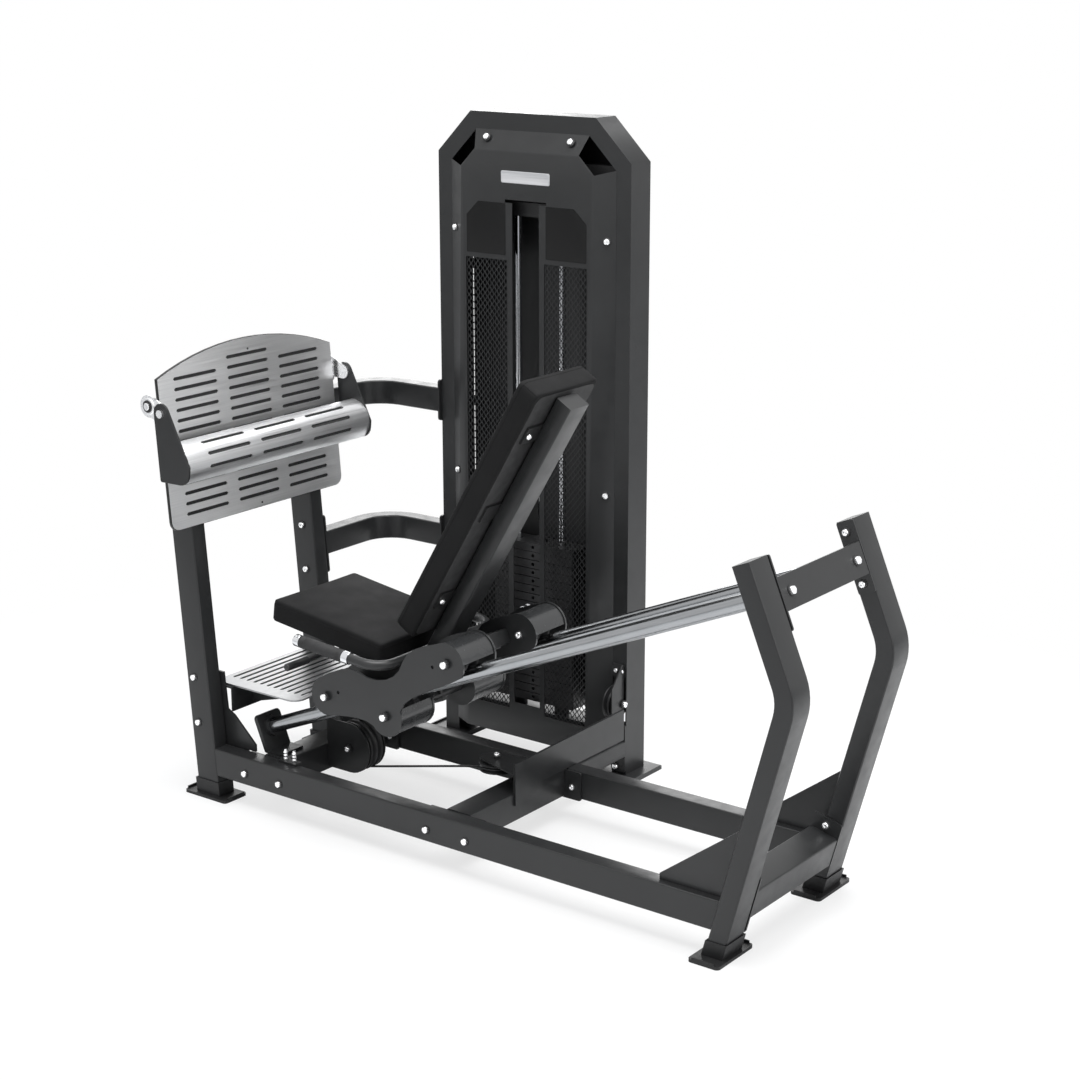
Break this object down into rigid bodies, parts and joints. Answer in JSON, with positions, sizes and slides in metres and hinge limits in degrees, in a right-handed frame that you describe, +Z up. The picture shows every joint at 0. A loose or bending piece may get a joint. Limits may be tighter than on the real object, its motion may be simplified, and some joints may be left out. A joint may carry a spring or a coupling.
{
  "type": "seated leg press machine",
  "caption": "Seated leg press: padded sled on inclined rails, pushed off a tilted foot plate and cabled to a weight tower, with a swing-out calf roller.",
  "frame": {"origin": "on the floor, below the centre of the machine's bounding box", "axes": "+X from the foot plate towards the rear posts, +Y towards the weight tower, +Z up"},
  "size_m": [2.0004, 1.0368, 1.838],
  "materials": {
    "powder_coat": "satin anthracite powder coat",
    "black_steel": "matte black paint",
    "rubber_boot": "matte",
    "upholstery": "matte black vinyl over foam",
    "chrome": "polished",
    "bright_steel": "brushed",
    "black_plastic": "matte moulded",
    "cable_sheath": "smooth black sheath over steel rope"
  },
  "bodies": {
    "frame": {"front_post_left": "powder_coat", "front_foot_left": "rubber_boot", "base_rail_left": "powder_coat", "rear_post_left": "powder_coat", "rear_foot_left": "rubber_boot", "guide_rail_left": "chrome", "rail_socket_left": "powder_coat", "roller_lug_left": "bright_steel", "guide_rod_left": "chrome", "front_post_right": "powder_coat", "front_foot_right": "rubber_boot", "base_rail_right": "powder_coat", "rear_post_right": "powder_coat", "rear_foot_right": "rubber_boot", "guide_rail_right": "chrome", "rail_socket_right": "powder_coat", "roller_lug_right": "bright_steel", "guide_rod_right": "chrome", "front_crossmember": "powder_coat", "mid_crossmember": "powder_coat", "rear_crossbar": "powder_coat", "rail_end_bracket": "powder_coat", "foot_plate_backing": "black_steel", "foot_plate_tread": "bright_steel", "step_bracket": "powder_coat", "step_plate": "bright_steel", "lower_brace": "powder_coat", "upper_brace": "powder_coat", "tower_frame": "powder_coat", "front_cover": "powder_coat", "back_cover": "powder_coat", "resting_plates": "black_steel", "top_pulley_bracket": "powder_coat", "link_tube": "powder_coat", "tower_pulley_bracket": "powder_coat", "cable": "cable_sheath"},
    "sled": {"sled_frame": "powder_coat", "seat_pad": "upholstery", "back_pad": "upholstery", "sled_plate_left_inner": "powder_coat", "sled_plate_left_outer": "powder_coat", "sled_plate_right_inner": "powder_coat", "sled_plate_right_outer": "powder_coat"},
    "stack": {"top_plate": "black_steel", "lifted_plates": "black_steel", "stack_cable": "cable_sheath"},
    "pin": {"selector_pin": "black_plastic"},
    "calf_roller": {"calf_roller": "bright_steel"},
    "release_lever": {"release_lever": "black_plastic"},
    "front_wheel_left": {"front_wheel_left": "black_plastic"},
    "front_wheel_right": {"front_wheel_right": "black_plastic"},
    "rear_wheel_left": {"rear_wheel_left": "black_plastic"},
    "rear_wheel_right": {"rear_wheel_right": "black_plastic"},
    "lower_wheel_left": {"lower_wheel_left": "black_plastic"},
    "lower_wheel_right": {"lower_wheel_right": "black_plastic"},
    "front_pulley": {"front_pulley": "black_plastic"},
    "mid_pulley": {"mid_pulley": "black_plastic"},
    "tower_pulley": {"tower_pulley": "black_plastic"},
    "top_pulley_side": {"top_pulley_side": "black_plastic"},
    "top_pulley_centre": {"top_pulley_centre": "black_plastic"}
  },
  "joints": [
    {"name": "sled_slide", "type": "slide", "parent": "frame", "child": "sled", "axis": [0.9219, 0, 0.3875], "range_m": [0, 0.55]},
    {"name": "front_wheel_left_spin", "type": "hinge", "parent": "sled", "child": "front_wheel_left", "pos_m": [-0.44243, -0.30165, 0.37077], "axis": [0, 1, 0], "range_deg": [0, 1320]},
    {"name": "front_wheel_right_spin", "type": "hinge", "parent": "sled", "child": "front_wheel_right", "pos_m": [-0.44243, -0.00165, 0.37077], "axis": [0, 1, 0], "range_deg": [0, 1320]},
    {"name": "rear_wheel_left_spin", "type": "hinge", "parent": "sled", "child": "rear_wheel_left", "pos_m": [-0.0322, -0.30165, 0.54321], "axis": [0, 1, 0], "range_deg": [0, 1320]},
    {"name": "rear_wheel_right_spin", "type": "hinge", "parent": "sled", "child": "rear_wheel_right", "pos_m": [-0.0322, -0.00165, 0.54321], "axis": [0, 1, 0], "range_deg": [0, 1320]},
    {"name": "lower_wheel_left_spin", "type": "hinge", "parent": "sled", "child": "lower_wheel_left", "pos_m": [-0.2377, -0.30165, 0.35855], "axis": [0, 1, 0], "range_deg": [-1320, 0]},
    {"name": "lower_wheel_right_spin", "type": "hinge", "parent": "sled", "child": "lower_wheel_right", "pos_m": [-0.2377, -0.00165, 0.35855], "axis": [0, 1, 0], "range_deg": [-1320, 0]},
    {"name": "stack_lift", "type": "slide", "parent": "frame", "child": "stack", "axis": [0, 0, 1], "range_m": [0, 0.55], "deforming": ["stack_cable"]},
    {"name": "pin_pull", "type": "slide", "parent": "stack", "child": "pin", "axis": [0, -1, 0], "range_m": [0, 0.06]},
    {"name": "front_pulley_spin", "type": "hinge", "parent": "frame", "child": "front_pulley", "pos_m": [-0.53196, -0.15165, 0.148], "axis": [0, 1, 0], "range_deg": [0, 480]},
    {"name": "mid_pulley_spin", "type": "hinge", "parent": "frame", "child": "mid_pulley", "pos_m": [-0.08496, -0.09915, 0.177], "axis": [0, 0, 1], "range_deg": [-755, 0]},
    {"name": "tower_pulley_spin", "type": "hinge", "parent": "frame", "child": "tower_pulley", "pos_m": [-0.04296, 0.38835, 0.221], "axis": [1, 0, 0], "range_deg": [-730, 0]},
    {"name": "top_pulley_side_spin", "type": "hinge", "parent": "frame", "child": "top_pulley_side", "pos_m": [-0.08796, 0.43235, 1.655], "axis": [0, 1, 0], "range_deg": [0, 705]},
    {"name": "top_pulley_centre_spin", "type": "hinge", "parent": "frame", "child": "top_pulley_centre", "pos_m": [-0.29346, 0.43235, 1.655], "axis": [0, 1, 0], "range_deg": [0, 705]},
    {"name": "roller_swing", "type": "hinge", "parent": "frame", "child": "calf_roller", "pos_m": [-0.86896, -0.15165, 1.101], "axis": [0, 1, 0], "range_deg": [-110, 0]},
    {"name": "release_pull", "type": "hinge", "parent": "sled", "child": "release_lever", "pos_m": [-0.45596, -0.15165, 0.455], "axis": [0, 1, 0], "range_deg": [0, 15], "stiffness_Nm_per_rad": 0.6}
  ],
  "couplings": [
    {"joint": "front_wheel_left_spin", "follows": "sled_slide", "rad_per_m": 41.667},
    {"joint": "front_wheel_right_spin", "follows": "sled_slide", "rad_per_m": 41.667},
    {"joint": "rear_wheel_left_spin", "follows": "sled_slide", "rad_per_m": 41.667},
    {"joint": "rear_wheel_right_spin", "follows": "sled_slide", "rad_per_m": 41.667},
    {"joint": "lower_wheel_left_spin", "follows": "sled_slide", "rad_per_m": -41.667},
    {"joint": "lower_wheel_right_spin", "follows": "sled_slide", "rad_per_m": -41.667},
    {"joint": "stack_lift", "follows": "sled_slide", "ratio": 1},
    {"joint": "front_pulley_spin", "follows": "sled_slide", "rad_per_m": 15.152},
    {"joint": "mid_pulley_spin", "follows": "sled_slide", "rad_per_m": -23.809},
    {"joint": "tower_pulley_spin", "follows": "sled_slide", "rad_per_m": -22.727},
    {"joint": "top_pulley_side_spin", "follows": "sled_slide", "rad_per_m": 22.222},
    {"joint": "top_pulley_centre_spin", "follows": "sled_slide", "rad_per_m": 22.222}
  ]
}
